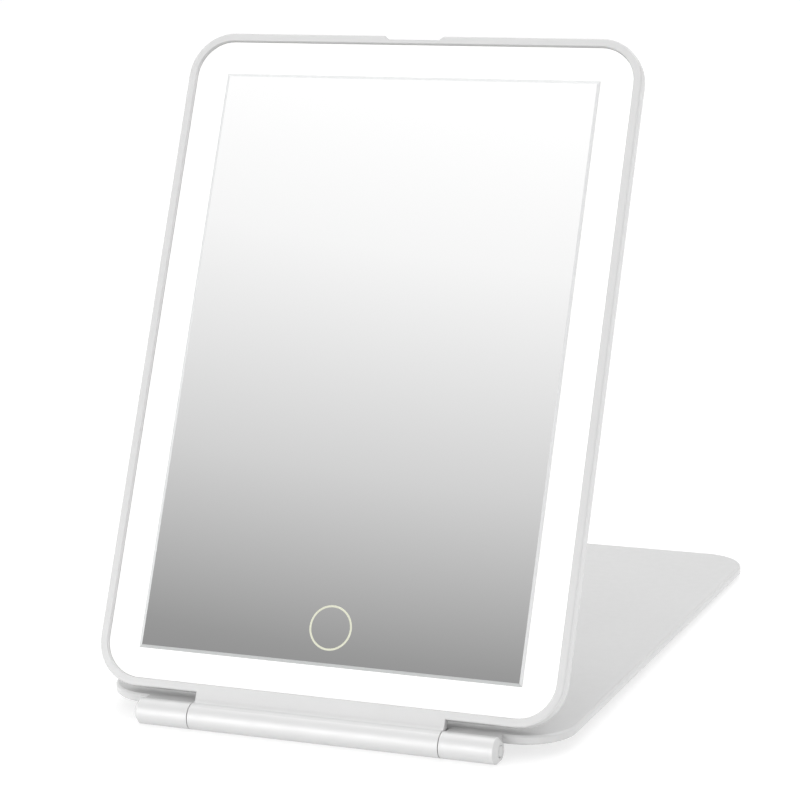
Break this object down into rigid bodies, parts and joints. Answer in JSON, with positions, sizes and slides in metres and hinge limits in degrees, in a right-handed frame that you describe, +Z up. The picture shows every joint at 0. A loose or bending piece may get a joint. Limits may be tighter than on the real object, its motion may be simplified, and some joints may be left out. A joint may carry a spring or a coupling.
{
  "type": "folding lighted makeup mirror",
  "caption": "Slim tablet-shaped vanity mirror with a lit border and touch ring, hinged on a friction barrel to a flat cover that folds out behind it as a stand.",
  "frame": {"origin": "centre of the opened mirror's footprint on the table it stands on", "axes": "+Z up, +Y away from the person who looks into the mirror, +X to that person's right, along the hinge"},
  "size_m": [0.1606, 0.2354, 0.2135],
  "materials": {
    "frame_plastic": "satin white moulded plastic",
    "cover_plastic": "satin white moulded plastic",
    "opal_diffuser": "opal white, lit from behind",
    "mirror_glass": "silvered glass with a ground bevel",
    "lit_ring": "pale ring, lit from behind",
    "adhesive": "foam tape",
    "conductive_foam": "conductive foam",
    "white_board": "white circuit board",
    "green_board": "green circuit board",
    "led_resin": "yellow phosphor resin",
    "chip_plastic": "black moulding compound",
    "steel": "plain steel",
    "spring_steel": "blued spring steel",
    "clear_lamp": "clear light pipe",
    "battery_foil": "laminated foil pouch",
    "lead_plastic": "insulated wire",
    "foot_rubber": "translucent silicone"
  },
  "bodies": {
    "cover": {"stand_cover": "cover_plastic", "hinge_pin_right": "steel", "hinge_pin_left": "steel", "hinge_cap_right": "cover_plastic", "hinge_cap_left": "cover_plastic", "foot_pads": "foot_rubber"},
    "mirror": {"front_frame": "frame_plastic", "rear_cover": "frame_plastic", "light_diffuser": "opal_diffuser", "mirror_glass": "mirror_glass", "glass_adhesive": "adhesive", "touch_ring": "lit_ring", "touch_pad": "conductive_foam", "led_board_top": "white_board", "led_board_bottom": "white_board", "led_board_left": "white_board", "led_board_right": "white_board", "led_chips": "led_resin", "main_board": "green_board", "board_chips": "chip_plastic", "board_screws": "steel", "usb_socket": "steel", "usb_insert": "chip_plastic", "charge_lamp": "clear_lamp", "battery_cell": "battery_foil", "battery_tape": "adhesive", "battery_leads": "lead_plastic", "friction_sleeve_right": "spring_steel", "friction_sleeve_left": "spring_steel"}
  },
  "joints": [
    {"name": "mirror_fold", "type": "hinge", "parent": "cover", "child": "mirror", "pos_m": [0, -0.11339, 0.0043], "axis": [1, 0, 0], "range_deg": [-8, 294.15]}
  ]
}
